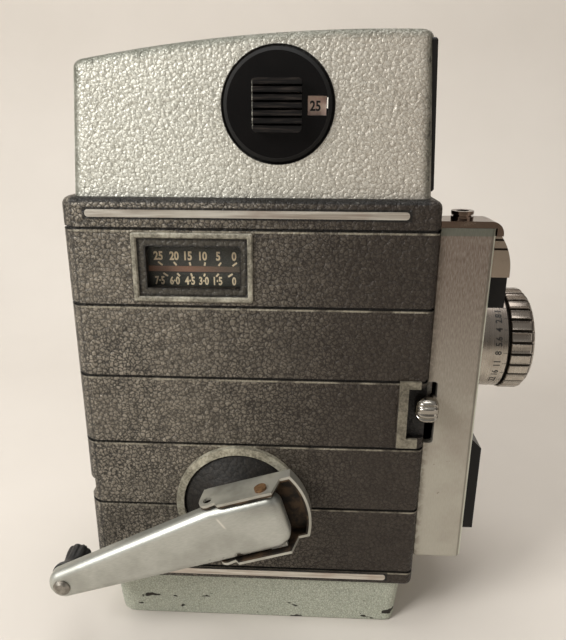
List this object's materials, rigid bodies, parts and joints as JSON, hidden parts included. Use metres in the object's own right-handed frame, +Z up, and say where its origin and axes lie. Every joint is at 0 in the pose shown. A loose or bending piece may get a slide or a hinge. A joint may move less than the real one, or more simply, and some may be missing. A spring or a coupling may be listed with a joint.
{
  "type": "spring-wound movie camera",
  "caption": "Upright spring-wound movie camera with folding winding crank, film speed dial, footage window, fixed lens with fluted ring, run lever and hinged film door.",
  "frame": {"origin": "centre of the tripod socket's mouth, at the middle of the base's underside", "axes": "+X forward along the lens axis, +Z up, crank side facing -Y and film door facing +Y"},
  "size_m": [0.1333, 0.0719, 0.1632],
  "materials": {
    "dark_hammer_paint": "dark grey-brown hammer-finish stove enamel",
    "silver_hammer_paint": "silver hammer-finish stove enamel",
    "grey_hammer_paint": "grey-green hammer-finish stove enamel, chipped at the bottom edge",
    "satin_aluminium": "bead-blasted aluminium, clear lacquer",
    "chrome_trim": "bright chrome",
    "strip_aluminium": "brushed and lacquered aluminium strip",
    "frame_metal": "grey cast frame with worn edges",
    "crank_metal": "tumbled and lacquered pressing",
    "boss_paint": "dark hammer-finish stove enamel",
    "pin_steel": "turned steel",
    "black_knob": "black moulded plastic",
    "black_enamel": "black enamel",
    "clear_glass": "polished glass",
    "cell": "light cell, dark brown",
    "inner_black": "matt black paint",
    "latch_metal": "ribbed, lacquered",
    "meter_body": "moulded case",
    "meter_moving": "thin sheet",
    "dial_face": "cream printed scale",
    "cam_brass": "milled brass",
    "needle_red": "orange-red enamel",
    "feeler_steel": "pressed steel",
    "barrel_steel": "machined steel",
    "spring_steel": "blued spring steel strip",
    "gate_chrome": "polished film track"
  },
  "bodies": {
    "case": {"body_shell": "dark_hammer_paint", "base_housing": "grey_hammer_paint", "tripod_bush": "pin_steel", "top_housing": "silver_hammer_paint", "front_housing": "satin_aluminium", "front_trim": "chrome_trim", "release_socket": "chrome_trim", "front_brow": "chrome_trim", "front_panel": "black_enamel", "front_plate": "black_enamel", "lens_barrel": "chrome_trim", "rear_lens": "clear_glass", "counter_frame": "frame_metal", "counter_glass": "clear_glass", "counter_dial": "black_enamel", "lever_frame": "frame_metal", "trim_strip_upper": "strip_aluminium", "trim_strip_lower": "strip_aluminium", "crank_ring": "frame_metal", "crank_boss": "boss_paint", "front_bezel": "black_enamel", "eye_window": "clear_glass", "light_cell": "cell", "finder_front_glass": "clear_glass", "finder_tube": "inner_black", "eyepiece": "chrome_trim", "eyepiece_glass": "clear_glass", "meter_case": "meter_body", "dial_scale": "dial_face", "mechanism_plate": "inner_black", "film_gate": "gate_chrome", "door_hinge_pin": "pin_steel"},
    "door": {"film_door": "dark_hammer_paint"},
    "latch": {"door_latch": "latch_metal"},
    "dial": {"film_speed_dial": "black_knob", "dial_cam": "cam_brass"},
    "lens_turning": {"focus_ring": "chrome_trim", "front_lens": "clear_glass"},
    "run_control": {"run_lever": "chrome_trim", "release_bar": "feeler_steel"},
    "crank": {"crank_bracket": "crank_metal", "crank_hinge_pin": "pin_steel", "winding_arbor": "pin_steel"},
    "crank_lever": {"crank_arm": "crank_metal", "knob_rivet": "pin_steel"},
    "knob": {"crank_knob": "black_knob"},
    "feeler": {"film_feeler": "feeler_steel"},
    "needle": {"counter_needle": "needle_red"},
    "barrel": {"spring_barrel": "barrel_steel", "barrel_lid": "barrel_steel", "mainspring": "spring_steel"},
    "drive": {"drive_wheel": "cam_brass"},
    "contrate": {"contrate_wheel": "cam_brass"},
    "shutter": {"shutter_shaft": "pin_steel", "shutter_disc": "black_enamel"},
    "supply": {"supply_spindle": "inner_black"},
    "takeup": {"takeup_spindle": "inner_black"},
    "presser": {"pressure_plate": "gate_chrome"},
    "vane": {"meter_vane": "meter_moving"}
  },
  "joints": [
    {"name": "crank_wind", "type": "hinge", "parent": "case", "child": "crank", "pos_m": [-0.0041, -0.028, 0.043], "axis": [0, -1, 0], "range_deg": [-45, 4]},
    {"name": "crank_fold", "type": "hinge", "parent": "crank", "child": "crank_lever", "pos_m": [0.00537, -0.0395, 0.04589], "axis": [-0.2924, 0, 0.9563], "range_deg": [0, 175]},
    {"name": "knob_spin", "type": "hinge", "parent": "crank_lever", "child": "knob", "pos_m": [-0.05101, -0.028, 0.02406], "axis": [0, -1, 0], "continuous": true},
    {"name": "run_slide", "type": "slide", "parent": "case", "child": "run_control", "axis": [0, 0, 1], "range_m": [-0.0045, 0], "stiffness_N_per_m": 300, "springref_m": 0.006},
    {"name": "speed_dial_turn", "type": "hinge", "parent": "case", "child": "dial", "pos_m": [0.006, -0.025, 0.1468], "axis": [0, -1, 0], "range_deg": [-30, 210]},
    {"name": "lens_ring_turn", "type": "hinge", "parent": "case", "child": "lens_turning", "pos_m": [0.074, 0.005, 0.0814], "axis": [1, 0, 0], "range_deg": [-60, 60]},
    {"name": "door_swing", "type": "hinge", "parent": "case", "child": "door", "pos_m": [-0.0492, 0.024, 0.085], "axis": [0, 0, 1], "range_deg": [0, 110]},
    {"name": "latch_slide", "type": "slide", "parent": "door", "child": "latch", "axis": [0, 0, 1], "range_m": [0, 0.005]},
    {"name": "feeler_turn", "type": "hinge", "parent": "case", "child": "feeler", "pos_m": [-0.036, -0.01, 0.071], "axis": [0, -1, 0], "range_deg": [-44.4, 0], "stiffness_Nm_per_rad": 0.003, "springref_deg": 28.65},
    {"name": "needle_turn", "type": "hinge", "parent": "case", "child": "needle", "pos_m": [-0.0126, -0.023, 0.084], "axis": [0, -1, 0], "range_deg": [0, 52]},
    {"name": "drive_turn", "type": "hinge", "parent": "case", "child": "drive", "pos_m": [0.00957, -0.01, 0.06628], "axis": [0, -1, 0], "continuous": true},
    {"name": "barrel_turn", "type": "hinge", "parent": "case", "child": "barrel", "pos_m": [-0.0041, -0.015, 0.043], "axis": [0, -1, 0], "continuous": true},
    {"name": "contrate_turn", "type": "hinge", "parent": "case", "child": "contrate", "pos_m": [0.008, -0.01, 0.0814], "axis": [0, -1, 0], "continuous": true},
    {"name": "shutter_turn", "type": "hinge", "parent": "case", "child": "shutter", "pos_m": [0.048, -0.0073, 0.0814], "axis": [1, 0, 0], "continuous": true},
    {"name": "supply_turn", "type": "hinge", "parent": "case", "child": "supply", "pos_m": [-0.015, 0, 0.097], "axis": [0, -1, 0], "continuous": true},
    {"name": "takeup_turn", "type": "hinge", "parent": "case", "child": "takeup", "pos_m": [-0.015, 0, 0.0455], "axis": [0, -1, 0], "continuous": true},
    {"name": "presser_slide", "type": "slide", "parent": "case", "child": "presser", "axis": [-1, 0, 0], "range_m": [0, 0.002], "stiffness_N_per_m": 400, "springref_m": -0.001},
    {"name": "vane_turn", "type": "hinge", "parent": "case", "child": "vane", "pos_m": [0.02, -0.009, 0.14], "axis": [0, 0, 1], "range_deg": [-40, 40], "stiffness_Nm_per_rad": 0.0001}
  ],
  "couplings": [
    {"joint": "needle_turn", "follows": "feeler_turn", "ratio": -1.1667},
    {"joint": "barrel_turn", "follows": "drive_turn", "ratio": -0.28571},
    {"joint": "contrate_turn", "follows": "drive_turn", "ratio": -2.8},
    {"joint": "shutter_turn", "follows": "drive_turn", "ratio": 8.4}
  ]
}
